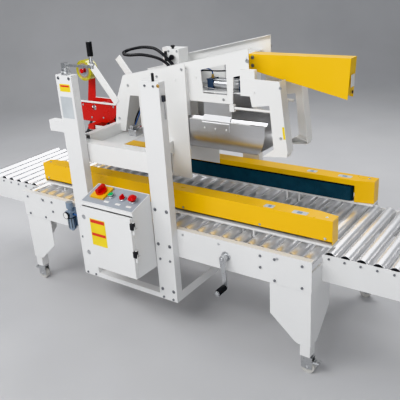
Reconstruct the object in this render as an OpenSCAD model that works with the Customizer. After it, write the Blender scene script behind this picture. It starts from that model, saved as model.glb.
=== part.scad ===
// Carton sealer: side-belt conveyor bed with an adjustable folding and taping head.
// Units are millimetres, Z up, X along the conveyor (+X is the infeed end).

/* [Bed] */
// Height of the bed rail's top edge above the floor
table_h = 545; // [520:5:570]
// Length of the roller bed
bed_l = 1700; // [1640:10:1760]
// Width of the roller bed
bed_w = 745; // [735:5:765]
// Depth of the bed's side rails
rail_h = 140; // [130:5:150]
// Length of each extension roller table
table_l = 455; // [455:5:520]
// Width of the extension tables over the rails
table_w = 545; // [520:5:560]

/* [Uprights] */
// Height of the uprights' top above the floor
up_top = 1204; // [1190:2:1240]
// Width of an upright along the conveyor
up_w = 100; // [98:1:104]
// Thickness of an upright across the conveyor
up_t = 40; // [38:1:44]

/* [Drive] */
// Distance between the two drive belts
gap_w = 375; // [340:5:400]
// Height of a belt cover
cover_h = 90; // [84:2:96]

/* [Head] */
// Distance between the head's two side plates
head_w = 188; // [184:2:196]
// Outer diameter of the tape rolls
roll_d = 108; // [90:2:116]

/* [Parts] */
// Sub-part to build, or all

/* [Hidden] */
hl = bed_l / 2;
hw = bed_w / 2;
th = table_h;
rb = th - rail_h;
t = 3;
rr = 24;
rz = th - 22;
tw = table_w / 2;
xl = -346;
xr = 150;
uo = hw + up_t;
hy = head_w / 2;
gi = gap_w / 2;
go = gi + 75;
cz = th + 46;
ct = cz + cover_h;
leg_b = 145;
lx = hl - 35;
ly = hw - 31;
cab_x0 = -210;
cab_x1 = 97;
cab_y = -uo - 126;
crank_x = 455;

// ---- helpers ----
// The model is drawn about the bed's centre line, then moved so the origin is under the middle of the whole.
module mid() translate([0, 70, 0]) children();
module bx(x0, x1, y0, y1, z0, z1) translate([x0, y0, z0]) cube([x1 - x0, y1 - y0, z1 - z0]);
module cy(x, y0, y1, z, r, n = 32) translate([x, y0, z]) rotate([-90, 0, 0]) cylinder(r = r, h = y1 - y0, $fn = n);
module cx(x0, x1, y, z, r, n = 32) translate([x0, y, z]) rotate([0, 90, 0]) cylinder(r = r, h = x1 - x0, $fn = n);
module cz_(x, y, z0, z1, r, n = 32) translate([x, y, z0]) cylinder(r = r, h = z1 - z0, $fn = n);
module xz(y0, y1) translate([0, y1, 0]) rotate([90, 0, 0]) linear_extrude(y1 - y0) children();
module both() { children(); mirror([0, 1, 0]) children(); }
module bolt_y(x, y, z, r = 5, h = 4) { cy(x, y - h, y, z, r, 6); }

// ---- bed ----
module bed_rails() mid() color("WhiteSmoke") both() difference() {
  union() {
  bx(-hl, hl, -hw, -hw + t, rb, th);
  bx(-hl, hl, -hw + t, -hw + 27, th - t, th);
  bx(-hl + 200, hl - 200, -hw + t, -hw + 30, rb, rb + t);
  }
  cy(crank_x, -hw - 1, -hw + t + 1, rb + 68, 8.05);
}

bay0 = -590;
bay1 = -318;
module bed_cross() mid() color("WhiteSmoke") {
  for (s = [-1, 1]) difference() {
    bx(s > 0 ? hl - t : -hl, s > 0 ? hl : -hl + t, -hw + t, hw - t, rb, th - t - 44);
    for (y = [-200, 200], z = [rb + 25, rb + 65]) cx(s * hl - 10, s * hl + 10, y, z, 4.5);
  }
  for (x = [-615, -180, 560]) bx(x, x + 40, -hw + t, hw - t, rb + t, rb + 43);
  bx(bay1 - 12, bay1 + 12, -hw + t, hw - t, rb + t, rb + 43);
  both() difference() {
    bx(bay0, bay1, -90, -86, rb + 43, th - 4);
    for (x = [-552.5, -487.5, -422.5, -357.5]) cy(x, -99, -77, rz, 6);
  }
}

module tube_roller(x, y0, y1, a0, a1) {
  difference() {
    cy(x, y0, y1, rz, rr, 40);
    cy(x, y0 - 1, y1 + 1, rz, rr - 2, 40);
  }
  cy(x, a0, a1, rz, 6, 24);
  for (y = [y0 + 1, y1 - 4]) bx(x - rr + 1, x + rr - 1, y, y + 3, rz - 9, rz + 9);
}
module rollers() mid() color("Silver") {
  for (i = [0:25]) let (x = -812.5 + 65 * i)
    if (x > -580 && x < -330) {
      tube_roller(x, -hw + 30, -95, -hw + t, -86);
      tube_roller(x, 95, hw - 30, 86, hw - t);
    }
    else tube_roller(x, -hw + 30, hw - 30, -hw + t, hw - t);
  for (s = [-1, 1], i = [0:6]) let (x = s * (hl + 27.5 + 65 * i))
    tube_roller(x, -tw + 7, tw - 7, -tw + t, tw - t);
}

module leg_profile_x() polygon([[hl - 188, th - 289], [hl - 188, th - 46], [hl - 3, th - 46], [hl - 3, leg_b], [hl - 60, leg_b], [hl - 75, leg_b + 8]]);
module leg_profile_y() polygon([[-hw + t, leg_b], [-hw + t, th - 47], [-hw + 187, th - 47], [-hw + 187, th - 289], [-hw + 78, leg_b + 8], [-hw + 60, leg_b]]);
module legs() mid() color("WhiteSmoke")
  for (sx = [0, 1], sy = [0, 1]) mirror([sx, 0, 0]) mirror([0, sy, 0]) difference() {
    union() {
      xz(-hw + t, -hw + 2 * t) leg_profile_x();
      translate([hl - 2 * t, 0, 0]) rotate([90, 0, 90]) linear_extrude(t) leg_profile_y();
    }
  }

module tables() mid() color("WhiteSmoke")
  for (s = [0, 1]) mirror([s, 0, 0]) difference() {
    union() {
      both() {
        bx(hl, hl + table_l, -tw, -tw + t, th - 132, th - 10);
        bx(hl, hl + table_l, -tw + t, -tw + 22, th - 132, th - 129);
      }
      bx(hl, hl + t, -tw + t, tw - t, th - 129, th - 48);
      bx(hl + table_l - t, hl + table_l, -tw + t, tw - t, th - 129, th - 12);
      bx(hl + 220, hl + 250, -tw + t, tw - t, th - 129, th - 89);
    }
    for (y = [-200, 200], z = [rb + 25, rb + 65]) cx(hl - 10, hl + 10, y, z, 4.5);
    for (y = [-200, 200], z = [rb + 25, rb + 65]) cx(hl + table_l - 10, hl + table_l + 10, y, z, 4.5);
    both() for (x = [hl + table_l - 60, hl + table_l - 20]) cy(x, -tw - 5, -tw + 5, th - 100, 4.5);
  }

// ---- uprights ----
sl0 = th + 115;
module upright_posts() for (x = [xl, xr]) both() difference() {
  bx(x - up_w / 2, x + up_w / 2, -uo, -hw, th - 363, up_top);
  bx(x - up_w / 2 + t, x + up_w / 2 - t, -uo + t, -hw - t, th - 364, up_top - t);
  bx(x - 12, x + 12, -hw - t - 1, -hw + 1, sl0, up_top - 45);
}

module uprights() mid() color("WhiteSmoke") difference() {
  upright_posts();
  cz_(xl, -uo + up_t / 2, up_top - 10, up_top + 10, 10.05);
}

module lower_beams() mid() color("WhiteSmoke") {
  both() difference() {
    bx(xl + up_w / 2, xr - up_w / 2, -uo, -hw, th - 363, th - 338);
    bx(xl + up_w / 2 - 1, xr - up_w / 2 + 1, -uo + t, -hw + 1, th - 360, th - 341);
  }
  for (x = [xl - up_w / 2, xr + up_w / 2 - t]) {
    bx(x, x + t, -hw, hw, th - 363, th - 318);
  }
}

module frame_bolts() mid() color("DimGray") both() {
  for (s = [-1, 1], x = [hl - 162, hl - 40], z = [th - 27, th - 125]) bolt_y(s * x, -hw, z, 6, 4);
  for (s = [-1, 1], z = [th - 27, th - 80]) bolt_y(s * (hl - 228), -hw, z, 6, 4);
  for (s = [-1, 1], i = [0:6]) bolt_y(s * (hl + 27.5 + 65 * i), -tw, rz - 3, 5, 4);
  for (x = [xl, xr], dx = [-28, 28], z = [th - 352, th - 150]) bolt_y(x + dx, -uo, z, 6, 4);
  for (dx = [-22, 22]) bolt_y(xr + dx, -uo, up_top - 14, 5, 4);
}

// ---- cabinet ----
cz0 = th - 195;
cz1 = th + 120;
module cabinet_side(x) translate([x, 0, 0]) rotate([90, 0, 90]) linear_extrude(2)
  polygon([[cab_y, cz0], [-uo, cz0], [-uo, cz1 + 40], [cab_y, cz1]]);
module cabinet_body() mid() color("WhiteSmoke") {
  cabinet_side(cab_x0);
  cabinet_side(cab_x1 - 2);
  bx(cab_x0 + 2.02, cab_x1 - 2.02, -uo - 2, -uo, cz0 + 12.02, cz1 + 24);
  difference() {
    bx(cab_x0 + 2.02, cab_x1 - 2.02, cab_y, -uo, cz0, cz0 + 12);
    for (x = [-160, -100]) cz_(x, -uo - 50, cz0 - 5, cz0 + 20, 10.2);
  }
  difference() {
    translate([cab_x0 + 2.02, 0, 0]) rotate([90, 0, 90]) linear_extrude(cab_x1 - cab_x0 - 4.04)
      polygon([[cab_y, cz1 - 15], [-uo, cz1 + 25], [-uo, cz1 + 40], [cab_y, cz1]]);
    on_panel(-140, 76, 0) translate([0, 0, -25]) cylinder(r = 9, h = 30, $fn = 24);
    for (x = [-75, -8, 55]) on_panel(x, 66, 0) translate([0, 0, -25]) cylinder(r = 10, h = 30, $fn = 24);
  }
  bx(xl + up_w / 2, cab_x0 + 2, -uo, -uo + 3, th - 150, th - 110);
  for (z = [cz0 + 120, cz1 - 60]) {
    cz_(hinge_x, hinge_y, z - 22, z + 22, 3, 24);
    cz_(hinge_x, hinge_y, z - 34, z - 12.5, 5.5, 24);
    bx(cab_x1, hinge_x + 1, hinge_y - 3, cab_y + 14, z - 34, z - 12.5);
  }
}
hinge_x = cab_x1 + 7;
hinge_y = cab_y - 8;
module cabinet_door() mid() color("WhiteSmoke") {
  for (z = [cz0 + 120, cz1 - 60]) difference() {
    union() {
      cz_(hinge_x, hinge_y, z - 12, z + 22, 5.5, 24);
      bx(cab_x1 - 1, hinge_x, hinge_y - 4, hinge_y + 4, z - 12, z + 22);
    }
    cz_(hinge_x, hinge_y, z - 13, z + 23, 3.05, 24);
  }
  bx(cab_x0 + 1, cab_x1 - 1, cab_y - 18, cab_y - 16, cz0 + 2, cz1 - 20);
  bx(cab_x0 + 1, cab_x0 + 3, cab_y - 16, cab_y - 1, cz0 + 2, cz1 - 20);
  bx(cab_x1 - 3, cab_x1 - 1, cab_y - 16, cab_y - 1, cz0 + 2, cz1 - 20);
  bx(cab_x0 + 3, cab_x1 - 3, cab_y - 16, cab_y - 1, cz0 + 2, cz0 + 4);
  bx(cab_x0 + 3, cab_x1 - 3, cab_y - 16, cab_y - 1, cz1 - 22, cz1 - 20);
}
pa = atan(40 / 126);
module on_panel(x, d, h = 4) translate([x, cab_y + d * cos(pa) - h * sin(pa), cz1 + d * sin(pa) + h * cos(pa)]) rotate([pa, 0, 0]) children();
module control_panel() mid() color("SlateGray") {
  difference() {
    on_panel(cab_x0 + 3, 3, 0) cube([cab_x1 - cab_x0 - 6, 124, 4]);
    on_panel(-140, 76, 0) translate([0, 0, -5]) cylinder(r = 5.5, h = 30, $fn = 24);
    for (x = [-75, -8, 55]) on_panel(x, 66, 0) translate([0, 0, -5]) cylinder(r = 8, h = 30, $fn = 24);
  }
  on_panel(-180, 36) difference() { cube([80, 80, 8]); translate([40, 40, -1]) cylinder(r = 5.5, h = 20, $fn = 24); }
  for (x = [-75, -8, 55]) on_panel(x, 66) difference() { cylinder(r = 17, h = 6, $fn = 40); translate([0, 0, -1]) cylinder(r = 8, h = 20, $fn = 24); }
}
module switch_knob() mid() color("Red") on_panel(-140, 76) {
  translate([0, 0, 8.4]) cylinder(r = 27, h = 10, $fn = 48);
  translate([-9, -26, 18.4]) cube([18, 52, 16]);
  translate([0, 0, -6]) cylinder(r = 5.45, h = 14.4, $fn = 24);
}
module green_button() mid() color("Green") on_panel(-75, 66) { translate([0, 0, 10.5]) cylinder(r = 13, h = 6, $fn = 40); translate([0, 0, -6]) cylinder(r = 7.95, h = 16.5, $fn = 24); }
module selector() mid() color("Red") on_panel(-8, 66) { translate([0, 0, 6.5]) cylinder(r = 12, h = 7, $fn = 40); translate([-3.5, -11, 13.5]) cube([7, 22, 10]); translate([0, 0, -6]) cylinder(r = 7.95, h = 12.5, $fn = 24); }
module stop_button() mid() color("Red") on_panel(55, 66) { translate([0, 0, 13]) cylinder(r1 = 14, r2 = 21, h = 8, $fn = 48); translate([0, 0, 21]) cylinder(r1 = 21, r2 = 15, h = 8, $fn = 48); translate([0, 0, -6]) cylinder(r = 7.95, h = 19, $fn = 24); }

module air_regulator() mid() color("LightSteelBlue") {
  bx(-478, -438, -hw - 6, -hw, th - 120, th - 20);
  difference() {
    bx(-478, -438, -hw - 44, -hw - 6, th - 62, th - 32);
    cx(-479, -462, -hw - 25, th - 47, 6.6);
    cx(-454, -437, -hw - 25, th - 47, 6.6);
  }
  cz_(-458, -hw - 25, th - 32, th - 16, 12);
  cz_(-458, -hw - 25, th - 16, th + 16, 17);
  cz_(-458, -hw - 25, th - 130, th - 62, 18);
  cz_(-458, -hw - 25, th - 140, th - 130, 7);
}

module guide_rods() mid() color("Silver") {
  for (x = [-650, 520]) both() {
    cy(x, -hw + t, -8, rb + 62, 9);
    bx(x - 18, x + 18, -8, 8, rb + 43, rb + 80);
  }
}

// ---- feet and castors ----
module foot(sx, sy) color("WhiteSmoke") mirror([sx, 0, 0]) mirror([0, sy, 0]) {
  difference() {
    bx(hl - 52, hl - 6.5, -hw + 6.5, -hw + 52, 89, 335);
    bx(hl - 49, hl - 9.5, -hw + 9.5, -hw + 49, 93, 336);
    cz_(lx, -ly, 80, 100, 6.05);
  }
}
module fork(sx, sy) color("Silver") mirror([sx, 0, 0]) mirror([0, sy, 0]) {
  cz_(lx, -ly, 88.7, 108, 6);
  cz_(lx, -ly, 82, 88.7, 19);
  difference() {
    bx(lx - 16, lx + 34, -ly - 16, -ly + 16, 24, 82);
    bx(lx - 40, lx + 60, -ly - 13, -ly + 13, 10, 79);
    translate([lx - 16, -ly - 20, 24]) rotate([0, -20, 0]) translate([-40, 0, -20]) cube([40, 40, 90]);
  }
  cy(lx + 12, -ly - 16, -ly - 13, 30, 8);
  cy(lx + 12, -ly + 13, -ly + 16, 30, 8);
  cy(lx + 12, -ly - 13, -ly + 13, 30, 5);
  bx(lx + 34, lx + 62, -ly - 16, -ly + 16, 56, 62);
}
module wheel(sx, sy) color("LightGray") mirror([sx, 0, 0]) mirror([0, sy, 0]) difference() {
  cy(lx + 12, -ly - 11, -ly + 11, 30, 30, 64);
  cy(lx + 12, -ly - 12, -ly + 12, 30, 5.05, 32);
}
module foot_a() mid() foot(0, 0);
module foot_b() mid() foot(1, 0);
module foot_c() mid() foot(0, 1);
module foot_d() mid() foot(1, 1);
module fork_a() mid() fork(0, 0);
module fork_b() mid() fork(1, 0);
module fork_c() mid() fork(0, 1);
module fork_d() mid() fork(1, 1);
module wheel_a() mid() wheel(0, 0);
module wheel_b() mid() wheel(1, 0);
module wheel_c() mid() wheel(0, 1);
module wheel_d() mid() wheel(1, 1);

// ---- side belt drives (written for the near side) ----
px0 = -655;
px1 = 763;
py = -gi - 21;
module cover() color("Gold") {
  translate([0, 0, ct - 2]) linear_extrude(2) polygon([[-775, -go], [885, -go], [885, -gi - 18], [800, -gi], [-690, -gi], [-775, -gi - 18]]);
  bx(-775, 885, -go, -go + 2, cz, ct - 2);
  bx(-690, 800, -gi - 2, -gi, ct - 26, ct - 2);
  translate([0, 0, th + 31]) linear_extrude(ct - 2 - th - 31) {
    polygon([[800, -gi - 2], [800, -gi], [885, -gi - 18], [885, -go + 2], [883, -go + 2], [883, -gi - 19.5]]);
    polygon([[-690, -gi - 2], [-690, -gi], [-775, -gi - 18], [-775, -go + 2], [-773, -go + 2], [-773, -gi - 19.5]]);
  }
}
module stadium(r, z0, z1) {
  cz_(px0, py, z0, z1, r, 64);
  cz_(px1, py, z0, z1, r, 64);
  bx(px0, px1, py - r, py + r, z0, z1);
}
module belt() color("DarkSlateGray") difference() {
  stadium(24, th + 34, th + 104);
  stadium(20, th + 33, th + 105);
}
module pulley(x) color("Silver") difference() {
  cz_(x, py, th + 36, th + 102, 19.7, 48);
  cz_(x, py, th + 35, th + 103, 6.05, 24);
}
module rail() color("WhiteSmoke") {
  difference() {
    union() {
      bx(-775, 885, -go, -gi - 8, th + 20, th + 30);
      for (x = [px0, px1]) {
        cz_(x, py, th + 30, ct - 2, 6, 24);
        cz_(x, py, th + 30, th + 35.5, 11, 24);
      }
      for (x = [-650, 520]) {
        bx(x - 4, x + 4, -gi - 60, -gi - 10, rb + 79, th + 20);
        bx(x - 16, x + 16, -gi - 60, -gi - 10, rb + 45, rb + 79);
      }
      bx(crank_x - 4, crank_x + 4, -gi - 40, -gi - 10, rb + 82, th + 20);
      bx(crank_x - 14, crank_x + 14, -gi - 40, -gi - 10, rb + 52, rb + 83);
    }
    for (x = [-650, 520]) cy(x, -gi - 61, -gi - 9, rb + 62, 9.05);
    cy(crank_x, -gi - 41, -gi - 9, rb + 68, 8.5);
  }
}
module cover_near() mid() cover();
module cover_far() mid() mirror([0, 1, 0]) cover();
module belt_near() mid() belt();
module belt_far() mid() mirror([0, 1, 0]) belt();
module rail_near() mid() rail();
module rail_far() mid() mirror([0, 1, 0]) rail();
module pulley_na() mid() pulley(px0);
module pulley_nb() mid() pulley(px1);
module pulley_fa() mid() mirror([0, 1, 0]) pulley(px0);
module pulley_fb() mid() mirror([0, 1, 0]) pulley(px1);

// ---- cranks ----
module width_crank() mid() color("Silver") {
  cy(crank_x, -hw - 28, hw - 10, rb + 68, 8);
  cy(crank_x, -hw - 26, -hw - 1, rb + 68, 15);
  hull() {
    cy(crank_x, -hw - 34, -hw - 26, rb + 68, 14);
    cy(crank_x + 10, -hw - 34, -hw - 26, rb - 62, 9);
  }
  cy(crank_x + 10, -hw - 100, -hw - 34, rb - 62, 6);
  cy(crank_x + 10, -hw - 98, -hw - 38, rb - 62, 13);
}
lcy = -uo + up_t / 2;
module lift_crank() mid() color("Silver") {
  cz_(xl, lcy, 400, up_top + 52, 10);
  cz_(xl, lcy, up_top + 1, up_top + 30, 17);
  bx(xl - 12, xl + 12, lcy - 12, lcy + 12, up_top + 30, up_top + 52);
  bx(xl + 12, xl + 168, lcy - 10, lcy + 10, up_top + 38, up_top + 46);
  cz_(xl + 168, lcy, up_top + 34, up_top + 86, 9);
  cz_(xl + 168, lcy, up_top + 86, up_top + 150, 12);
}

// ---- head carriage ----
module carriage() mid() color("WhiteSmoke") {
  both() difference() {
    union() {
      difference() {
        bx(xl - 59, xr + 12, -hw + 4.5, -hw + 60, 787, 882);
        bx(xl - 60, xr + 13, -hw + 7.5, -hw + 57, 790, 879);
      }
      for (x = [xl, xr]) {
        bx(x - 11, x + 11, -hw - 4, -hw + 4.5, 790, 880);
        bx(x - 44, x + 44, -uo + 4, -hw - 4, 785, 885);
      }
    }
    for (x = [xl, xr]) cz_(x, -uo + up_t / 2, 780, 890, 10.6);
  }
  difference() { bx(-366, -330, -hw + 60, hw - 60, 850, 905); bx(-363, -333, -hw + 59, hw - 59, 853, 902); }
  difference() { bx(-30, 20, -hw + 60, hw - 60, 800, 860); bx(-27, 17, -hw + 59, hw - 59, 803, 857); }
}

module plate_shape(up) difference() {
  polygon([[-330, 866], [-298, 866], [-244, 1052], [-188, 1054], [-188, 900], [-40, 900], [-40, 860], [20, 860],
    [20, 1000], [100, 1057], [346, 1058], [354, 1176], [431, 1196], [431, 1295 + up], [-60, 1192 + up], [-70, 1190], [-277, 1147], [-335, 1025], [-358, 905], [-330, 905]]);
  polygon([[186, 1199], [319, 1228], [320, 1096], [193, 1096]]);
}
module head_plates() mid() color("WhiteSmoke") {
  xz(-hy - 4, -hy) plate_shape(0);
  xz(hy, hy + 4) plate_shape(33);
}

module head_ties() mid() color("WhiteSmoke") {
  for (p = [[-290, 1100], [-140, 1130], [-120, 950], [330, 1240]]) cy(p[0], -hy, hy, p[1], 9);
  cy(40, -hy, hy, 1090, 8);
  bx(140, 346, -hy, hy, 1101, 1105);
  bx(346, 400, -hy + 12, hy - 12, 1101, 1105);
  bx(372, 390, -hy, hy, 1200, 1262);
  bx(-58, 70, -hy, hy, 1180, 1184);
  difference() {
    bx(-44, 24, -34, 40, 1184, 1272);
    bx(-41, 21, -31, 37, 1183, 1269);
  }
  both() {
    bx(400, 470, -119, -hy - 4, 1105, 1215);
    bx(340, 362, -116, -hy - 4, 1030, 1060);
    cx(362, 536, -107, 1045, 6);
    xz(-hy - 8, -hy - 4) polygon([[-498, 1182], [-466, 1206], [-318, 1022], [-346, 994]]);
    for (x = [205, 262, 320]) bolt_y(x, -118, 945, 4, 3);
    bolt_y(467, -122, 1124, 5, 3);
    bolt_y(158, -hy - 4, 1164, 5, 3);
    bolt_y(420, -hy - 4, 1262, 5, 3);
    for (x = [-90, 60]) bolt_y(x, x < 0 ? -hy - 4 : -122, 1150, 5, 3);
  }
}

module side_panels() mid() color("WhiteSmoke") both() difference() {
  union() {
    xz(-122, -119) polygon([[-60, 686], [117, 686], [117, 1227], [-60, 1188]]);
    bx(114, 117, -119, -hy - 4, 992, 1200);
  }
  bx(-31, 21, -123, -90, 799, 861);
}

module wing_plates() mid() color("WhiteSmoke") both() {
  xz(-122, -119) polygon([[432, 1180], [456, 1061], [538, 1074], [556, 889], [621, 875], [586, 1176]]);
  xz(-119, -70) polygon([[583, 1176], [586, 1176], [621, 875], [618, 875]]);
  difference() {
    xz(-119, -80) polygon([[500, 848], [556, 889], [618, 875], [616, 860]]);
    xz(-117, -79) polygon([[506, 850], [557, 886.5], [615, 873], [614, 862]]);
  }
}

module fold_plate() mid() color("Silver") {
  intersection() {
    difference() {
      union() { cx(60, 520, 0, 928, 115, 96); bx(60, 520, -115, 115, 928, 978); }
      cx(59, 521, 0, 928, 112.5, 96);
      bx(59, 521, -112.5, 112.5, 928, 979);
    }
    difference() {
      bx(50, 520, -130, 130, 800, 990);
      xz(-131, 131) difference() {
        polygon([[330, 790], [530, 790], [530, 1000], [520, 1000], [505, 950]]);
        translate([360, 955]) circle(r = 150, $fn = 96);
      }
    }
  }
  both() translate([190, 0, 0]) rotate([90, 0, 90]) linear_extrude(145)
    polygon([[-hy + 3, 1078], [-hy, 1078], [-hy, 1000], [-118, 970], [-118, 935], [-115, 935], [-115, 969], [-hy + 3, 999]]);
}

module infeed_arm() mid() color("Gold") difference() {
  xz(-30, 30) polygon([[390, 1264], [390, 1200], [836, 1102], [845, 1263]]);
  xz(-28, 28) polygon([[392, 1262], [392, 1150], [834, 1050], [843, 1261]]);
}

cp = [[14, -62, 1184], [14, -62, 1195], [6, -62, 1208], [-14, -61, 1224], [-53, -55, 1251], [-115, -30, 1269], [-175, -10, 1271], [-222, -7, 1269], [-261, -19, 1263], [-277, -35, 1259], [-280, -56, 1255], [-274, -76, 1253], [-256, -95, 1250], [-236, -105, 1249], [-204, -109, 1249], [-138, -110, 1254], [-73, -105, 1247], [-33, -92, 1232], [-8, -83, 1212], [0, -80, 1196], [0, -80, 1184]];
function unit(v) = v / norm(v);
function tan_at(p, i) = unit(p[min(i + 1, len(p) - 1)] - p[max(i - 1, 0)]);
module tube(p, r, n = 10) {
  pts = [for (i = [0:len(p) - 1]) let (d = tan_at(p, i), u = unit(cross(d, [0, 1, 0])), v = cross(d, u))
    for (k = [0:n - 1]) p[i] + r * (cos(360 * k / n) * u + sin(360 * k / n) * v)];
  side = [for (i = [0:len(p) - 2], k = [0:n - 1]) [i * n + k, (i + 1) * n + k, (i + 1) * n + (k + 1) % n, i * n + (k + 1) % n]];
  polyhedron(pts, concat([[for (k = [0:n - 1]) k]], side, [[for (k = [n - 1:-1:0]) (len(p) - 1) * n + k]]), convexity = 6);
}
module conduit() mid() color("Black") tube(cp, 7.5);

// ---- flap kicker ----
module flap_cylinder() mid() color("SlateGray") difference() {
  union() {
    cx(226, 360, -40, 1130, 21);
    bx(196, 226, -64, -16, 1105, 1155);
    bx(360, 396, -64, -16, 1105, 1155);
  }
  cx(222, 352, -40, 1130, 17);
  cx(190, 223, -40, 1130, 6.05);
}
module flap_rod() mid() color("Silver") {
  cx(120, 300, -40, 1130, 6);
  cx(300, 312, -40, 1130, 16.6);
  bx(104, 120, -50, -30, 1120, 1140);
}
module flap_arm() mid() color("DimGray") difference() {
  union() {
    cy(40, -60, 60, 1090, 15);
    both() xz(-55, -50) polygon([[40, 1076], [-150, 1050], [-156, 1064], [-150, 1070], [36, 1104]]);
    cy(-148, -55, 55, 1060, 7);
  }
  cy(40, -61, 61, 1090, 8.05);
}

// ---- upper tape unit ----
fp = [-500, 900];
rp = [-585, 895];
module tape_frame() mid() color("Red") {
  both() difference() {
    xz(-40, -37) polygon([[-665, 874], [-480, 874], [-420, 905], [-400, 940], [-400, 983], [-650, 983]]);
    cy(-560, -41, -36, 950, 16);
  }
  for (p = [[-640, 960], [-420, 965], fp, rp]) cy(p[0], -37, 37, p[1], 6);
  xz(40, 44) polygon([[-690, 925], [-630, 925], [-598, 1160], [-640, 1160]]);
  cy(-617, -34, 40, 1140, 8);
  bx(-560, -520, -100, 100, 850, 874);
  both() bx(-560, -330, -90, -46, 844, 850);
}
module tape_roll() mid() color("Olive") difference() {
  cy(-617, -25, 25, 1140, roll_d / 2, 72);
  cy(-617, -26, 26, 1140, 8.05);
  for (y = [-26, 21]) cy(-617, y, y + 5, 1140, 36, 48);
}
module tape_arm(p, q, s) difference() {
  union() {
    for (m = [-1, 1]) {
      y0 = m < 0 ? -33 : 30;
      cy(p[0], y0, y0 + 3, p[1], 14);
      cy(q[0], y0, y0 + 3, q[1], 9);
      xz(y0, y0 + 3) polygon([[p[0] - 10, p[1]], [p[0] + 10, p[1]], [q[0] + 7, q[1]], [q[0] - 7, q[1]]]);
    }
    cy(q[0], -30, 30, q[1], 5);
  }
  cy(p[0], -34, 34, p[1], 6.05);
}
fq = [-425, 785];
rq = [-655, 790];
module front_arm() mid() color("DimGray") tape_arm(fp, fq, 1);
module rear_arm() mid() color("DimGray") tape_arm(rp, rq, -1);
module tape_wheel(q) difference() { cy(q[0], -28, 28, q[1], 16, 40); cy(q[0], -29, 29, q[1], 5.05, 24); }
module front_roller() mid() color("Black") tape_wheel(fq);
module rear_roller() mid() color("Black") tape_wheel(rq);

// ---- lower tape unit ----
module low_tape_frame() mid() color("Red") {
  both() xz(-40, -37) polygon([[-550, 450], [-520, 404], [-360, 404], [-330, 450], [-330, 542], [-550, 542]]);
  for (x = [-550, -336]) bx(x, x + 6, -37, 37, 455, 500);
  both() for (x = [-545, -345]) bx(x, x + 10, -86, -40, 470, 500);
  for (x = [-535, -345]) { cy(x, -28, 28, 532, 15); cy(x, -37, -28, 532, 5); cy(x, 28, 37, 532, 5); }
  xz(40, 44) polygon([[-465, 320], [-415, 320], [-400, 440], [-480, 440]]);
  cy(-440, -34, 40, 340, 8);
}
module low_tape_roll() color("Olive") translate([177, 0, -800]) tape_roll();

bed_rails();
bed_cross();
rollers();
legs();
tables();
uprights();
lower_beams();
frame_bolts();
cabinet_body();
cabinet_door();
control_panel();
switch_knob();
green_button();
selector();
stop_button();
air_regulator();
guide_rods();
foot_a();
foot_b();
foot_c();
foot_d();
fork_a();
fork_b();
fork_c();
fork_d();
wheel_a();
wheel_b();
wheel_c();
wheel_d();
cover_near();
cover_far();
belt_near();
belt_far();
pulley_na();
pulley_nb();
pulley_fa();
pulley_fb();
width_crank();
lift_crank();
carriage();
head_plates();
head_ties();
side_panels();
wing_plates();
fold_plate();
infeed_arm();
conduit();
flap_cylinder();
flap_rod();
flap_arm();
tape_frame();
tape_roll();
front_arm();
front_roller();
rear_arm();
rear_roller();
low_tape_frame();
low_tape_roll();
rail_near();
rail_far();
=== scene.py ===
import math
import random
import bpy
import bmesh
from mathutils import Matrix, Vector


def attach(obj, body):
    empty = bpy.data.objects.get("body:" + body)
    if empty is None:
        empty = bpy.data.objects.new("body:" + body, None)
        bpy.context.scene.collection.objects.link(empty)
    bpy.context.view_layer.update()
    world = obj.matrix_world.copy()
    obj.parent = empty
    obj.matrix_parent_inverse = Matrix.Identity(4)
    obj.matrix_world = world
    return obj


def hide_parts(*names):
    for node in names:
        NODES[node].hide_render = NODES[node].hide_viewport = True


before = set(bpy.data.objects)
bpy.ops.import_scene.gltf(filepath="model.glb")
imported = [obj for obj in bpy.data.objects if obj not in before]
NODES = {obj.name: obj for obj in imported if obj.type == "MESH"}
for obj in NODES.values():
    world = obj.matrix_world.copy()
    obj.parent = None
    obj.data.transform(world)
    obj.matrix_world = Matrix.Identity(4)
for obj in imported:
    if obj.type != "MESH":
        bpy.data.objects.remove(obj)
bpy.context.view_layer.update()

SC = bpy.context.scene

# ------------------------------------------------------------------ camera
R = ((0.820466, 0.568412, -0.061176), (0.172787, -0.348554, -0.921225), (-0.544958, 0.745263, -0.384191))
EYE = Vector((1.6895, -2.1511, 1.6643))
right, up, back = Vector(R[0]), -Vector(R[1]), -Vector(R[2])
cam_data = bpy.data.cameras.new("camera")
cam_data.sensor_width = 36.0
cam_data.lens = 52.97
cam_data.clip_end = 60
cam = bpy.data.objects.new("camera", cam_data)
m = Matrix((right, up, back)).transposed().to_4x4()
m.translation = EYE
cam.matrix_world = m
SC.collection.objects.link(cam)
SC.camera = cam


# ------------------------------------------------------------------ materials
def new_mat(name):
    mat = bpy.data.materials.new(name)
    mat.use_nodes = True
    nt = mat.node_tree
    return mat, nt, nt.nodes["Principled BSDF"]


def coords(nt, scale=(1, 1, 1)):
    tc = nt.nodes.new("ShaderNodeTexCoord")
    mp = nt.nodes.new("ShaderNodeMapping")
    mp.inputs["Scale"].default_value = scale
    nt.links.new(tc.outputs["Object"], mp.inputs["Vector"])
    return mp.outputs["Vector"]


def noise(nt, vec, scale, detail=3.0, rough=0.55):
    n = nt.nodes.new("ShaderNodeTexNoise")
    n.inputs["Scale"].default_value = scale
    n.inputs["Detail"].default_value = detail
    n.inputs["Roughness"].default_value = rough
    nt.links.new(vec, n.inputs["Vector"])
    return n.outputs["Fac"]


def ramp(nt, fac, stops):
    r = nt.nodes.new("ShaderNodeValToRGB")
    e = r.color_ramp.elements
    e[0].position, e[0].color = stops[0][0], (*stops[0][1], 1)
    e[1].position, e[1].color = stops[-1][0], (*stops[-1][1], 1)
    for p, c in stops[1:-1]:
        x = e.new(p)
        x.color = (*c, 1)
    nt.links.new(fac, r.inputs["Fac"])
    return r.outputs["Color"]


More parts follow.
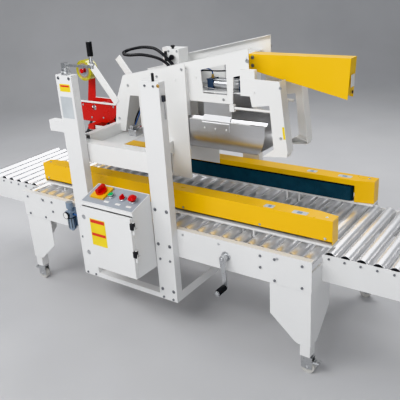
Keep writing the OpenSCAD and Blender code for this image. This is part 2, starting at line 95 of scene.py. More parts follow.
def mix(nt, fac, a, b, blend="MIX"):
    mx = nt.nodes.new("ShaderNodeMix")
    mx.data_type = "RGBA"
    mx.blend_type = blend
    for sock, v in ((0, fac), (6, a), (7, b)):
        if isinstance(v, (int, float)):
            mx.inputs[sock].default_value = v
        elif isinstance(v, tuple):
            mx.inputs[sock].default_value = (*v, 1)
        else:
            nt.links.new(v, mx.inputs[sock])
    return mx.outputs[2]


def rng(nt, fac, lo, hi, a=0.0, b=1.0):
    r = nt.nodes.new("ShaderNodeMapRange")
    nt.links.new(fac, r.inputs["Value"])
    r.inputs["From Min"].default_value = a
    r.inputs["From Max"].default_value = b
    r.inputs["To Min"].default_value = lo
    r.inputs["To Max"].default_value = hi
    return r.outputs["Result"]


def bump(nt, bsdf, height, strength, dist, prev=None):
    b = nt.nodes.new("ShaderNodeBump")
    b.inputs["Strength"].default_value = strength
    b.inputs["Distance"].default_value = dist
    nt.links.new(height, b.inputs["Height"])
    if prev is not None:
        nt.links.new(prev, b.inputs["Normal"])
    nt.links.new(b.outputs["Normal"], bsdf.inputs["Normal"])
    return b.outputs["Normal"]


def edge_fac(nt, radius=0.0016, lo=0.985, hi=0.90):
    """1 on sharp edges, 0 on flat faces: a rounded normal compared with the true one."""
    g = nt.nodes.new("ShaderNodeNewGeometry")
    bv = nt.nodes.new("ShaderNodeBevel")
    bv.samples = 3
    bv.inputs["Radius"].default_value = radius
    dot = nt.nodes.new("ShaderNodeVectorMath")
    dot.operation = "DOT_PRODUCT"
    nt.links.new(g.outputs["Normal"], dot.inputs[0])
    nt.links.new(bv.outputs["Normal"], dot.inputs[1])
    return rng(nt, dot.outputs["Value"], 0.0, 1.0, lo, hi)


def paint(name, col, rough=0.38, wear=(0.55, 0.55, 0.56), wear_amt=0.35, peel=0.12, coat=0.15, vary=0.05):
    mat, nt, b = new_mat(name)
    v = coords(nt)
    big = noise(nt, v, 3.0, 4)
    fine = noise(nt, v, 900, 2)
    dk = tuple(c * (1 - vary) for c in col)
    lt = tuple(min(1, c * (1 + vary)) for c in col)
    base = ramp(nt, big, [(0.3, dk), (0.7, lt)])
    speck = rng(nt, noise(nt, v, 260, 3), 0.0, 1.0, 0.68, 0.74)
    base = mix(nt, rng(nt, speck, 0, 0.03), base, tuple(c * 0.7 for c in col))
    e = edge_fac(nt)
    mm = nt.nodes.new("ShaderNodeMath")
    mm.operation = "MULTIPLY"
    nt.links.new(e, mm.inputs[0])
    nt.links.new(rng(nt, noise(nt, v, 60, 4), 0.0, wear_amt, 0.45, 0.65), mm.inputs[1])
    base = mix(nt, mm.outputs[0], base, wear)
    nt.links.new(base, b.inputs["Base Color"])
    nt.links.new(rng(nt, noise(nt, v, 14, 4), rough - 0.06, rough + 0.08, 0.3, 0.7), b.inputs["Roughness"])
    b.inputs["Coat Weight"].default_value = coat
    b.inputs["Coat Roughness"].default_value = 0.25
    bump(nt, b, fine, peel * 0.4, 0.0004)
    return mat


def metal(name, col, rough=0.25, stretch=(1, 1, 1), scale=120, amt=0.1, bumps=0.08, tone=0.08):
    mat, nt, b = new_mat(name)
    v = coords(nt, stretch)
    w = coords(nt)
    streak = noise(nt, v, scale, 5, 0.65)
    big = noise(nt, w, 5, 3)
    base = ramp(nt, streak, [(0.3, tuple(c * (1 - tone) for c in col)), (0.7, tuple(min(1, c * (1 + tone)) for c in col))])
    base = mix(nt, rng(nt, big, 0.0, 0.18, 0.4, 0.75), base, tuple(c * 0.72 for c in col))
    nt.links.new(base, b.inputs["Base Color"])
    b.inputs["Metallic"].default_value = 1.0
    nt.links.new(rng(nt, streak, max(0.03, rough - amt), rough + amt, 0.25, 0.75), b.inputs["Roughness"])
    bump(nt, b, streak, bumps, 0.0004)
    return mat


def plastic(name, col, rough=0.35, grain=0.1, spec=0.5, scale=500, vary=0.06):
    mat, nt, b = new_mat(name)
    v = coords(nt)
    n = noise(nt, v, 8, 3)
    base = ramp(nt, n, [(0.3, tuple(c * (1 - vary) for c in col)), (0.7, tuple(min(1, c * (1 + vary)) for c in col))])
    e = edge_fac(nt)
    # edges lightened towards a brighter tint of the same colour: a painted highlight along the edges
    base = mix(nt, rng(nt, e, 0, 0.25), base, tuple(min(1, c * 1.5 + 0.04) for c in col))
    nt.links.new(base, b.inputs["Base Color"])
    nt.links.new(rng(nt, noise(nt, v, 30, 4), rough - 0.07, rough + 0.1, 0.3, 0.7), b.inputs["Roughness"])
    b.inputs["Specular IOR Level"].default_value = spec
    bump(nt, b, noise(nt, v, scale, 2), grain, 0.0004)
    return mat


def wave_bump(nt, b, vec, scale, direction="X", strength=0.4, dist=0.001, kind="BANDS"):
    w = nt.nodes.new("ShaderNodeTexWave")
    w.wave_type = kind
    if kind == "BANDS":
        w.bands_direction = direction
    w.inputs["Scale"].default_value = scale
    nt.links.new(vec, w.inputs["Vector"])
    bump(nt, b, w.outputs["Fac"], strength, dist)
    return w.outputs["Fac"]


M = {}
M["white"] = paint("white_paint", (0.80, 0.80, 0.795), 0.42, wear=(0.5, 0.5, 0.5), vary=0.02)
M["white_head"] = paint("white_head_paint", (0.84, 0.84, 0.83), 0.38, wear=(0.5, 0.5, 0.5), vary=0.025)
# a darker grey copy of the white head paint: painted shade for the inside wall of the head
M["head_inner_painted_shade"] = paint("white_head_painted_shade_grey", (0.66, 0.66, 0.65), 0.5, vary=0.04)
M["yellow"] = paint("yellow_paint", (0.92, 0.53, 0.003), 0.33, wear=(0.55, 0.42, 0.2), coat=0.3, vary=0.04)
M["yellow_arm"] = paint("yellow_arm_paint", (0.93, 0.56, 0.006), 0.36, wear=(0.55, 0.42, 0.2), coat=0.2, vary=0.04)
M["red"] = paint("red_paint", (0.60, 0.018, 0.012), 0.3, wear=(0.35, 0.1, 0.08), coat=0.35, vary=0.08)
M["panel"] = paint("panel_grey", (0.36, 0.39, 0.43), 0.45, vary=0.05)
M["roller"] = metal("roller_tube", (0.90, 0.90, 0.91), 0.30, stretch=(1.0, 0.25, 1.0), scale=22, amt=0.03, bumps=0.004, tone=0.025)
for _n in M["roller"].node_tree.nodes:
    if _n.type == "BSDF_PRINCIPLED":
        _n.inputs["Metallic"].default_value = 0.72
M["zinc"] = metal("zinc", (0.62, 0.63, 0.64), 0.32, scale=90, amt=0.1)
M["stainless"] = metal("stainless_sheet", (0.74, 0.74, 0.75), 0.33, stretch=(1.2, 30, 30), scale=30, amt=0.06, bumps=0.04, tone=0.03)
M["bolt"] = metal("bolt_steel", (0.30, 0.31, 0.33), 0.35, scale=200)
M["alloy"] = metal("pulley_alloy", (0.68, 0.69, 0.71), 0.3, stretch=(30, 30, 2), scale=60)
M["black_steel"] = paint("black_steel", (0.045, 0.048, 0.055), 0.4, wear=(0.3, 0.3, 0.3), vary=0.15)
M["blue_black"] = paint("blue_black_cap", (0.035, 0.055, 0.10), 0.35, wear=(0.3, 0.32, 0.36), vary=0.15)
M["black_rubber"] = plastic("black_rubber", (0.018, 0.018, 0.019), 0.6, 0.3, 0.4, 700)
M["black_plastic"] = plastic("black_plastic", (0.022, 0.022, 0.024), 0.38, 0.12)
M["red_plastic"] = plastic("red_plastic", (0.62, 0.012, 0.012), 0.25, 0.04)
M["green_plastic"] = plastic("green_plastic", (0.01, 0.40, 0.12), 0.28, 0.04)
M["amber"] = plastic("amber_plate", (0.80, 0.45, 0.02), 0.4, 0.08)
M["reg_blue"] = plastic("regulator_plastic", (0.26, 0.33, 0.42), 0.4, 0.12)
M["nylon"] = plastic("wheel_nylon", (0.62, 0.61, 0.58), 0.45, 0.12)
M["tread"] = plastic("wheel_tread", (0.05, 0.05, 0.052), 0.6, 0.3)
M["card"] = plastic("card_core", (0.42, 0.30, 0.17), 0.8, 0.5, 0.2, 250)
M["brass"] = metal("brass", (0.72, 0.50, 0.20), 0.3, scale=150)
M["tag"] = plastic("blank_tag", (0.78, 0.78, 0.76), 0.5, 0.1)
M["label_blue"] = plastic("blank_label_blue", (0.20, 0.30, 0.42), 0.4, 0.06, vary=0.15)
M["label_grey"] = plastic("blank_plate", (0.55, 0.58, 0.60), 0.35, 0.06, vary=0.1)
M["label_yellow"] = plastic("blank_label_yellow", (0.86, 0.66, 0.03), 0.42, 0.06)
M["label_red"] = plastic("blank_label_red", (0.70, 0.05, 0.03), 0.42, 0.06)
M["hose_blue"] = plastic("air_hose", (0.03, 0.10, 0.30), 0.3, 0.05)
M["hose_black"] = plastic("cable_black", (0.02, 0.02, 0.02), 0.45, 0.15)
M["cable_grey"] = plastic("cable_grey", (0.35, 0.35, 0.36), 0.5, 0.15)


def belt_mat():
    mat, nt, b = new_mat("belt_teal")
    v = coords(nt)
    base = ramp(nt, noise(nt, v, 22, 5), [(0.3, (0.006, 0.036, 0.062)), (0.7, (0.014, 0.062, 0.10))])
    base = mix(nt, rng(nt, noise(nt, v, 160, 3), 0, 0.25, 0.55, 0.8), base, (0.09, 0.12, 0.14))
    nt.links.new(base, b.inputs["Base Color"])
    b.inputs["Roughness"].default_value = 0.55
    wa = nt.nodes.new("ShaderNodeTexWave")
    wa.bands_direction = "DIAGONAL"
    wa.inputs["Scale"].default_value = 60
    nt.links.new(v, wa.inputs["Vector"])
    wb = nt.nodes.new("ShaderNodeTexWave")
    wb.bands_direction = "X"
    wb.inputs["Scale"].default_value = 60
    nt.links.new(v, wb.inputs["Vector"])
    mx = nt.nodes.new("ShaderNodeMath")
    mx.operation = "MAXIMUM"
    nt.links.new(wa.outputs["Fac"], mx.inputs[0])
    nt.links.new(wb.outputs["Fac"], mx.inputs[1])
    bump(nt, b, mx.outputs[0], 0.6, 0.0015)
    return mat


def tape_mat():
    mat, nt, b = new_mat("tape_film")
    v = coords(nt)
    base = ramp(nt, noise(nt, v, 40, 4), [(0.3, (0.40, 0.36, 0.012)), (0.7, (0.55, 0.50, 0.03))])
    nt.links.new(base, b.inputs["Base Color"])
    b.inputs["Roughness"].default_value = 0.28
    b.inputs["Coat Weight"].default_value = 0.5
    tc = coords(nt, (1, 0.02, 1))
    bump(nt, b, noise(nt, tc, 400, 3), 0.25, 0.0006)
    return mat


M["belt"] = belt_mat()
M["tape"] = tape_mat()


def setmat(node, key):
    o = NODES[node]
    mats = o.data.materials
    if len(mats) == 0:
        mats.append(M[key])
    for i in range(len(mats)):
        mats[i] = M[key]


ASSIGN = {
    "white": "bed_rails bed_cross legs tables uprights lower_beams cabinet_body cabinet_door rail_near rail_far foot_a foot_b foot_c foot_d",
    "white_head": "carriage head_plates head_ties side_panels wing_plates",
    "yellow": "cover_near cover_far", "yellow_arm": "infeed_arm", "red": "tape_frame low_tape_frame",
    "roller": "rollers", "zinc": "fork_a fork_b fork_c fork_d guide_rods width_crank lift_crank flap_rod",
    "stainless": "fold_plate", "bolt": "frame_bolts", "panel": "control_panel",
    "red_plastic": "switch_knob selector stop_button", "green_plastic": "green_button", "reg_blue": "air_regulator",
    "belt": "belt_near belt_far", "black_rubber": "front_roller rear_roller conduit", "nylon": "wheel_a wheel_b wheel_c wheel_d",
    "tape": "tape_roll low_tape_roll", "alloy": "pulley_na pulley_nb pulley_fa pulley_fb",
    "blue_black": "flap_cylinder", "black_steel": "flap_arm front_arm rear_arm",
}
for key, names in ASSIGN.items():
    for n in names.split():
        setmat(n, key)


# ------------------------------------------------------------------ mesh helpers
def obj_from(name, bm, mat, body, smooth=True, bevel=0.0, slot=None):
    me = bpy.data.meshes.new(name)
    bm.normal_update()
    bm.to_mesh(me)
    bm.free()
    o = bpy.data.objects.new(name, me)
    SC.collection.objects.link(o)
    me.materials.append(M[mat])
    if smooth:
        for p in me.polygons:
            p.use_smooth = True
        me.set_sharp_from_angle(angle=math.radians(35))
    if bevel:
        bv = o.modifiers.new("bevel", "BEVEL")
        bv.width = bevel
        bv.segments = 2
        bv.limit_method = "ANGLE"
        bv.angle_limit = math.radians(40)
    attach(o, body)
    return o


def add_box(bm, lo, hi, mtx=None):
    vs = [bm.verts.new((x, y, z)) for x in (lo[0], hi[0]) for y in (lo[1], hi[1]) for z in (lo[2], hi[2])]
    for f in ((0, 1, 3, 2), (4, 6, 7, 5), (0, 4, 5, 1), (2, 3, 7, 6), (0, 2, 6, 4), (1, 5, 7, 3)):
        bm.faces.new([vs[i] for i in f])
    if mtx is not None:
        for v in vs:
            v.co = mtx @ v.co
    return vs


def basis(axis):
    w = Vector(axis).normalized()
    u = w.orthogonal().normalized()
    return u, w.cross(u), w


def add_lathe(bm, origin, axis, profile, n=32, close=True):
    """profile: list of (radius, distance along axis)."""
    u, v, w = basis(axis)
    o = Vector(origin)
    rings = []
    for r, h in profile:
        if r < 1e-6:
            rings.append([bm.verts.new(o + w * h)])
        else:
            rings.append([bm.verts.new(o + w * h + (u * math.cos(2 * math.pi * k / n) + v * math.sin(2 * math.pi * k / n)) * r) for k in range(n)])
    for a, b in zip(rings, rings[1:]):
        if len(a) == 1 and len(b) == 1:
            continue
        for k in range(n):
            q = (k + 1) % n
            if len(a) == 1:
                bm.faces.new((a[0], b[k], b[q]))
            elif len(b) == 1:
                bm.faces.new((a[k], a[q], b[0]))
            else:
                bm.faces.new((a[k], a[q], b[q], b[k]))
    return rings


def lathe(name, origin, axis, profile, mat, body, n=32, **kw):
    bm = bmesh.new()
    add_lathe(bm, origin, axis, profile, n)
    bmesh.ops.recalc_face_normals(bm, faces=bm.faces)
    return obj_from(name, bm, mat, body, **kw)


def add_tube(bm, pts, radius, n=10, ribs=None, caps=True):
    """Swept tube along points; ribs = (pitch, depth) makes a corrugated hose."""
    P = [Vector(p) for p in pts]
    # smooth with Catmull-Rom
    fine = []
    for i in range(len(P) - 1):
        p0, p1, p2, p3 = P[max(i - 1, 0)], P[i], P[i + 1], P[min(i + 2, len(P) - 1)]
        k = max(3, int((p2 - p1).length / (0.01 if not ribs else ribs[0] / 2.0)))
        for j in range(k):
            t = j / k
            fine.append(0.5 * ((2 * p1) + (p2 - p0) * t + (2 * p0 - 5 * p1 + 4 * p2 - p3) * t * t + (3 * p1 - p0 - 3 * p2 + p3) * t ** 3))
    fine.append(P[-1])
    if ribs:
        # resample evenly at half a rib
        step = ribs[0] / 2.0
        out, acc = [fine[0]], 0.0
        for a, b in zip(fine, fine[1:]):
            L = (b - a).length
            while acc + L >= step and L > 1e-9:
                t = (step - acc) / L
                a = a.lerp(b, t)
                out.append(a)
                L = (b - a).length
                acc = 0.0
            acc += L
        fine = out
    rings = []
    u = None
    for i, p in enumerate(fine):
        d = (fine[min(i + 1, len(fine) - 1)] - fine[max(i - 1, 0)]).normalized()
        if u is None:
            u = d.orthogonal().normalized()
        u = (u - d * u.dot(d)).normalized()
        v = d.cross(u)
        r = radius - (ribs[1] if ribs and i % 2 else 0)
        rings.append([bm.verts.new(p + (u * math.cos(2 * math.pi * k / n) + v * math.sin(2 * math.pi * k / n)) * r) for k in range(n)])
    for a, b in zip(rings, rings[1:]):
        for k in range(n):
            q = (k + 1) % n
            bm.faces.new((a[k], a[q], b[q], b[k]))
    if caps:
        bm.faces.new(list(reversed(rings[0])))
        bm.faces.new(rings[-1])


def tube(name, pts, radius, mat, body, n=10, ribs=None, **kw):
    bm = bmesh.new()
    add_tube(bm, pts, radius, n, ribs)
    bmesh.ops.recalc_face_normals(bm, faces=bm.faces)
    return obj_from(name, bm, mat, body, **kw)


def mm(x, y, z):
    """A point drawn about the bed's centre line, in millimetres, as a point in the row frame."""
    return Vector((x / 1000.0, (y + 70.0) / 1000.0, z / 1000.0))


def boxmm(name, lo, hi, mat, body, bevel=1.0, **kw):
    bm = bmesh.new()
    add_box(bm, mm(*lo), mm(*hi))
    bmesh.ops.recalc_face_normals(bm, faces=bm.faces)
    return obj_from(name, bm, mat, body, bevel=bevel / 1000.0, **kw)


def plate(name, origin, ux, uy, w, h, t, mat, body, corner=3.0, **kw):
    """A thin rounded plate: origin is its lowest-left corner, ux and uy unit vectors, sizes in mm."""
    bm = bmesh.new()
    ux, uy = Vector(ux).normalized(), Vector(uy).normalized()
    un = ux.cross(uy)
    pts = []
    for cx_, cy_, a0 in ((w - corner, corner, -90), (w - corner, h - corner, 0), (corner, h - corner, 90), (corner, corner, 180)):
        for k in range(5):
            a = math.radians(a0 + 22.5 * k)
            pts.append((cx_ + corner * math.cos(a), cy_ + corner * math.sin(a)))
    o = Vector(origin)
    lo = [bm.verts.new(o + (ux * x + uy * y) / 1000.0) for x, y in pts]
    hi = [bm.verts.new(o + (ux * x + uy * y) / 1000.0 + un * t / 1000.0) for x, y in pts]
    bm.faces.new(list(reversed(lo)))
    bm.faces.new(hi)
    for k in range(len(pts)):
        q = (k + 1) % len(pts)
        bm.faces.new((lo[k], lo[q], hi[q], hi[k]))
    bmesh.ops.recalc_face_normals(bm, faces=bm.faces)
    return obj_from(name, bm, mat, body, smooth=False, **kw)


def add_bolt(bm, p, axis, r=5.0, h=4.0, socket=True):
    """A cap screw head with a round socket recess."""
    r, h = r / 1000.0, h / 1000.0
    prof = [(r * 1.5, 0.0), (r * 1.5, 0.0008), (r * 1.02, 0.0010), (r, 0.0014), (r, h * 0.85), (r * 0.9, h), (r * 0.55, h), (r * 0.5, h * 0.45), (0, h * 0.45)]
    add_lathe(bm, p, axis, prof, 20)


def bolts(name, items, body, mat="zinc"):
    bm = bmesh.new()
    for p, axis, r, h in items:
        add_bolt(bm, p, axis, r, h)
    bmesh.ops.recalc_face_normals(bm, faces=bm.faces)
    return obj_from(name, bm, mat, body)


# ------------------------------------------------------------------ the free hose loop on the head
CP = [(14, -62, 1184), (14, -62, 1195), (6, -62, 1208), (-14, -61, 1224), (-53, -55, 1251), (-115, -30, 1269), (-175, -10, 1271),
      (-222, -7, 1269), (-261, -19, 1263), (-277, -35, 1259), (-280, -56, 1255), (-274, -76, 1253), (-256, -95, 1250), (-236, -105, 1249),
      (-204, -109, 1249), (-138, -110, 1254), (-73, -105, 1247), (-33, -92, 1232), (-8, -83, 1212), (0, -80, 1196), (0, -80, 1184)]


hose = tube("hose_loop", [mm(*p) for p in CP], 0.0075, "black_plastic", "head", n=14, ribs=(0.0042, 0.0011))
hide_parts("conduit")


def gland(bm, p, axis, r, h):
    """A hexagon gland body with a domed nut on it."""
    u, v, w = basis(axis)
    o = Vector(p)
    for k0, rr, z0, z1 in ((6, r, 0.0, h * 0.35),):
        rings = []
        for z, q in ((z0, rr), (z1 * 0.9, rr), (z1, rr * 0.94)):
            rings.append([bm.verts.new(o + w * z + (u * math.cos(math.pi / 3 * k) + v * math.sin(math.pi / 3 * k)) * q) for k in range(6)])
        bm.faces.new(list(reversed(rings[0])))
        for a, b in zip(rings, rings[1:]):
            for k in range(6):
                bm.faces.new((a[k], a[(k + 1) % 6], b[(k + 1) % 6], b[k]))
        bm.faces.new(rings[-1])
    add_lathe(bm, o + w * h * 0.35, axis, [(0, 0), (r * 0.86, 0), (r * 0.86, h * 0.35), (r * 0.74, h * 0.58), (r * 0.6, h * 0.64)], 24)


bm = bmesh.new()
gland(bm, mm(14, -62, 1184), (0, 0, 1), 0.014, 0.020)
gland(bm, mm(0, -80, 1184), (0, 0, 1), 0.014, 0.020)
bmesh.ops.recalc_face_normals(bm, faces=bm.faces)
obj_from("hose_glands", bm, "black_plastic", "head")

# ------------------------------------------------------------------ roller end caps with bearings
bm = bmesh.new()


def roller_cap(x, y, s, z=523):
    # s is the outward direction along Y
    add_lathe(bm, mm(x, y - s * 7.6, z), (0, s, 0), [(0.0062, 0.0072), (0.0105, 0.0072), (0.0110, 0.0060), (0.0165, 0.0056), (0.0172, 0.0074), (0.0215, 0.0074), (0.0219, 0.0066), (0.0219, 0.0)], 20)


for i in range(26):
    x = -812.5 + 65 * i
    if -580 < x < -330:
        for s in (-1, 1):
            roller_cap(x, s * 342.5, s)
            roller_cap(x, s * 95.0, -s)
    else:
        for s in (-1, 1):
            roller_cap(x, s * 342.5, s)
for sx in (-1, 1):
    for i in range(7):
        for s in (-1, 1):
            roller_cap(sx * (877.5 + 65 * i), s * 265.5, s)
obj_from("roller_end_caps", bm, "black_plastic", "frame")

# ------------------------------------------------------------------ sheet-metal details on the frame
items = []
for sx in (-1, 1):
    for x in (230, 420, 700):
        items.append((mm(sx * x, -372.5, 523), (0, -1, 0), 4, 3))
        items.append((mm(sx * x, 372.5, 523), (0, 1, 0), 4, 3))
bolts("rail_screws", items, "frame")
items = [(mm(-380, -412.5, 1190), (0, -1, 0), 5, 4), (mm(-312, -412.5, 1190), (0, -1, 0), 5, 4)]
items += [(mm(x, -412.5, z), (0, -1, 0), 5.5, 4) for x in (118, 182) for z in (640, 470, 236)]
items += [(mm(x, 412.5, z), (0, 1, 0), 5.5, 4) for x in (-378, -314, 118, 182) for z in (1188, 640, 470, 236)]
bolts("post_screws", items, "frame", "bolt")
# plastic caps on the post tops
for nm, x, s in (("post_cap_a", 150, -1), ("post_cap_c", 150, 1), ("post_cap_d", -346, 1)):
    y0, y1 = sorted((s * 411, s * 374))
    boxmm(nm, (x - 48, y0, 1203.6), (x + 48, y1, 1206.5), "white", "frame", bevel=1.2)
# small channel bracket on the left of the near-left post
bm = bmesh.new()
add_box(bm, mm(-492, -410, 982), mm(-396.2, -372, 985))
add_box(bm, mm(-492, -410, 932), mm(-396.2, -407, 982))
add_box(bm, mm(-492, -407, 932), mm(-489, -375, 982))
bmesh.ops.recalc_face_normals(bm, faces=bm.faces)
obj_from("post_bracket", bm, "white", "frame", smooth=False, bevel=0.0008)
# a black strap and a small brass screw at the top of the right post, with a switch clip and its tail
boxmm("post_strap", (158, -404, 1204), (168, -396, 1240), "black_plastic", "frame", bevel=1.5)
bolts("brass_screw", [(mm(196, -412.5, 1192), (0, -1, 0), 5, 3.5)], "frame", "brass")
boxmm("post_clip", (200.5, -402, 1126), (212, -388, 1152), "black_steel", "frame", bevel=1.5)
tube("post_clip_tail", [mm(206, -395, 1126), mm(207, -394, 1105), mm(204, -390, 1080), mm(202.5, -386, 1050)], 0.0022, "cable_grey", "frame", 8)

# blank rating plate and blank label on the left post
plate("post_plate", mm(-384, -412.5, 1006), (1, 0, 0), (0, 0, 1), 74, 100, 0.7, "label_grey", "frame")
plate("post_label", mm(-378, -412.5, 1130), (1, 0, 0), (0, 0, 1), 66, 34, 0.7, "label_yellow", "frame")
plate("post_label_band", mm(-372, -413.2, 1151), (1, 0, 0), (0, 0, 1), 54, 8, 0.4, "label_red", "frame", corner=2)

# ------------------------------------------------------------------ cabinet
PA = math.atan(40 / 126)


def onp(x, d, h):
    return mm(x, -538.5 + d * math.cos(PA) - h * math.sin(PA), 665 + d * math.sin(PA) + h * math.cos(PA))


UX, UY, UN = Vector((1, 0, 0)), Vector((0, math.cos(PA), math.sin(PA))), Vector((0, -math.sin(PA), math.cos(PA)))


def panel_plate(name, x, d, w, h, t, h0, mat, corner=2.0, hole=None):
    if hole is None:
        return plate(name, onp(x, d, h0), UX, UY, w, h, t, mat, "frame", corner=corner)
    bm = bmesh.new()
    n = 32
    rings = []
    for z in (h0, h0 + t):
        outer, inner = [], []
        for k in range(n):
            a = 2 * math.pi * (k + 0.5) / n
            c, s = math.cos(a), math.sin(a)
            q = 1.0 / max(abs(c), abs(s))
            outer.append(bm.verts.new(onp(x + w / 2 + c * q * w / 2, d + h / 2 + s * q * h / 2, z)))
            inner.append(bm.verts.new(onp(x + w / 2 + c * hole, d + h / 2 + s * hole, z)))
        rings.append((outer, inner))
    for k in range(n):
        q = (k + 1) % n
        bm.faces.new((rings[1][0][k], rings[1][0][q], rings[1][1][q], rings[1][1][k]))
        bm.faces.new((rings[0][0][q], rings[0][0][k], rings[0][1][k], rings[0][1][q]))
        bm.faces.new((rings[0][0][k], rings[0][0][q], rings[1][0][q], rings[1][0][k]))
        bm.faces.new((rings[0][1][q], rings[0][1][k], rings[1][1][k], rings[1][1][q]))
    bmesh.ops.recalc_face_normals(bm, faces=bm.faces)
    return obj_from(name, bm, mat, "frame", smooth=False)


# amber base skin under the red switch
panel_plate("switch_skin_top", -180.4, 35.6, 80.8, 80.8, 0.3, 12.02, "amber", hole=8.0)
for nm, a, b, w, h in (("skin_w", -181.0, 35.4, 0.8, 81.2), ("skin_e", -100.0, 35.4, 0.8, 81.2)):
    plate("switch_" + nm, onp(a, b, 4.1), UX, UY, w, h, 8.1, "amber", "frame", corner=0.3)
for nm, a, b, w, h in (("skin_s", -180.6, 35.0, 81.0, 0.8), ("skin_n", -180.6, 116.1, 81.0, 0.8)):
    plate("switch_" + nm, onp(a, b, 4.1), UX, UY, w, h, 8.1, "amber", "frame", corner=0.3)
# small blank tags under each control, and the collars round them
for nm, x in (("a", -75), ("b", -8), ("c", 55)):
    panel_plate("control_tag_" + nm, x - 14, 24, 28, 11, 0.7, 4.02, "tag", corner=1.5)
    lathe("control_collar_" + nm, onp(x, 66, 10.05), UN, [(0.0142, 0), (0.0168, 0.0), (0.0165, 0.0010), (0.0156, 0.0017), (0.0148, 0.0017), (0.0142, 0.0011)], "zinc", "frame", 36)
panel_plate("switch_tag", -158, 119.5, 36, 6, 0.5, 4.02, "tag", corner=1.0)
# red switch handle grip: raised rib along the handle
bm = bmesh.new()
for dx in (-5.2, 0.0, 5.2):
    add_box(bm, (0, 0, 0), (1, 1, 1), Matrix.Translation(onp(-140 + dx - 1.2, 76 - 25, 38.42)) @ Matrix((UX, UY, UN)).transposed().to_4x4() @ Matrix.Diagonal((0.0024, 0.050, 0.0009, 1)))
bmesh.ops.recalc_face_normals(bm, faces=bm.faces)
obj_from("switch_grip_ribs", bm, "red_plastic", "switch", bevel=0.0003)
# mushroom head dome on the stop button
lathe("stop_dome", onp(55, 66, 33.0), UN, [(0.0150, -0.0002), (0.0140, 0.0012), (0.0100, 0.0026), (0.0050, 0.0033), (0.0, 0.0035)], "red_plastic", "stop", 36)
lathe("green_lens", onp(-75, 66, 20.45), UN, [(0.0122, 0.0), (0.0112, 0.0012), (0.0080, 0.0017), (0.0, 0.0020)], "green_plastic", "green", 32)
lathe("green_bezel", onp(-75, 66, 14.4), UN, [(0.0131, 0.0), (0.0136, 0.0006), (0.0136, 0.0054), (0.0129, 0.0062)], "zinc", "green", 32)
# white rim round the panel
for nm, a in (("rim_w", (-210, -1, 3)), ("rim_e", (94, -1, 3))):
    plate("panel_" + nm, onp(a[0], 0, 0.0), UX, UY, 3.0, 131.5, 5.2, "white", "frame", corner=0.8)
plate("panel_rim_s", onp(-207, 0.0, 0.0), UX, UY, 301, 2.8, 5.2, "white", "frame", corner=0.8)
plate("panel_rim_n", onp(-207, 127.6, 0.0), UX, UY, 301, 3.6, 5.2, "white", "frame", corner=0.8)
# door: black hinge covers on its right edge, two round lock plates, and the blank sticker
for nm, z in (("hinge_top", 605), ("hinge_low", 470)):
    bm = bmesh.new()
    x0, x1, y0, y1 = 90, 111, -540.8, -556.8
    vs = []
    for z_, k in ((z - 11.5, 0.6), (z + 21.5, 1.0)):
        for x, y in ((97.2, y0), (x1 - (1 - k) * 8, y0), (x1 - (1 - k) * 8, y1), (x0, y1)):
            vs.append(bm.verts.new(mm(x, y, z_)))
    for f in ((0, 1, 2, 3), (7, 6, 5, 4), (0, 4, 5, 1), (1, 5, 6, 2), (2, 6, 7, 3), (3, 7, 4, 0)):
        bm.faces.new([vs[i] for i in f])
    bmesh.ops.recalc_face_normals(bm, faces=bm.faces)
    obj_from("door_" + nm, bm, "black_plastic", "door", bevel=0.0018)
for nm, z in (("lock_top", 600), ("lock_low", 420)):
    lathe("door_" + nm, mm(-186, -556.6, z), (0, -1, 0), [(0.0115, 0), (0.0115, 0.0004), (0.0108, 0.0008), (0.0062, 0.0009), (0.0060, 0.0004), (0, 0.0004)], "zinc", "door", 28)
plate("door_sticker", mm(-150, -556.55, 470), (1, 0, 0), (0, 0, 1), 92, 132, 0.5, "label_yellow", "door", corner=2.5)
plate("door_sticker_head_top", mm(-146, -557.05, 582), (1, 0, 0), (0, 0, 1), 84, 16, 0.35, "label_red", "door", corner=1.5)
plate("door_sticker_head_mid", mm(-146, -557.05, 518), (1, 0, 0), (0, 0, 1), 84, 14, 0.35, "label_red", "door", corner=1.5)

# ------------------------------------------------------------------ cranks
def ribbed(L, r, n=9, r_end=None):
    prof = [(r * 0.72, 0.0), (r * 0.96, 0.0006), (r, 0.0022)]
    for i in range(n):
        a = 0.004 + (L - 0.008) * i / n
        b = 0.004 + (L - 0.008) * (i + 0.5) / n
        prof += [(r, a), (r * 1.05, a + 0.0006), (r * 1.05, b - 0.0004), (r, b)]
    prof += [(r, L - 0.0022), (r * 0.96, L - 0.0006), (r * 0.72, L)]
    return prof


lathe("lift_grip", mm(-178, -392.5, 1290.5), (0, 0, 1), ribbed(0.0630, 0.0124), "black_rubber", "lift_crank_body", 32)
lathe("width_grip", mm(465, -410.2, 343), (0, -1, 0), ribbed(0.0606, 0.0134), "black_rubber", "width_crank_body", 32)
lathe("lift_collar", mm(-346, -392.5, 1205.2), (0, 0, 1), [(0.0172, 0), (0.0205, 0.0), (0.0210, 0.001), (0.0210, 0.012), (0.0200, 0.014), (0.0172, 0.014)], "zinc", "lift_crank_body", 36)
lathe("lift_elbow_nut", mm(-178, -392.5, 1250.1), (0, 0, 1), [(0.0092, 0), (0.0135, 0), (0.0140, 0.001), (0.0140, 0.009), (0.0130, 0.0105), (0.0092, 0.0105)], "zinc", "lift_crank_body", 6)
lathe("width_collar", mm(455, -372.7, 473), (0, -1, 0), [(0.0152, 0), (0.0215, 0), (0.0220, 0.0008), (0.0220, 0.0030), (0.0200, 0.0042), (0.0152, 0.0042)], "zinc", "frame", 36)
bolts("width_crank_screw", [(mm(455, -406.6, 473), (0, -1, 0), 6.5, 4)], "width_crank_body")

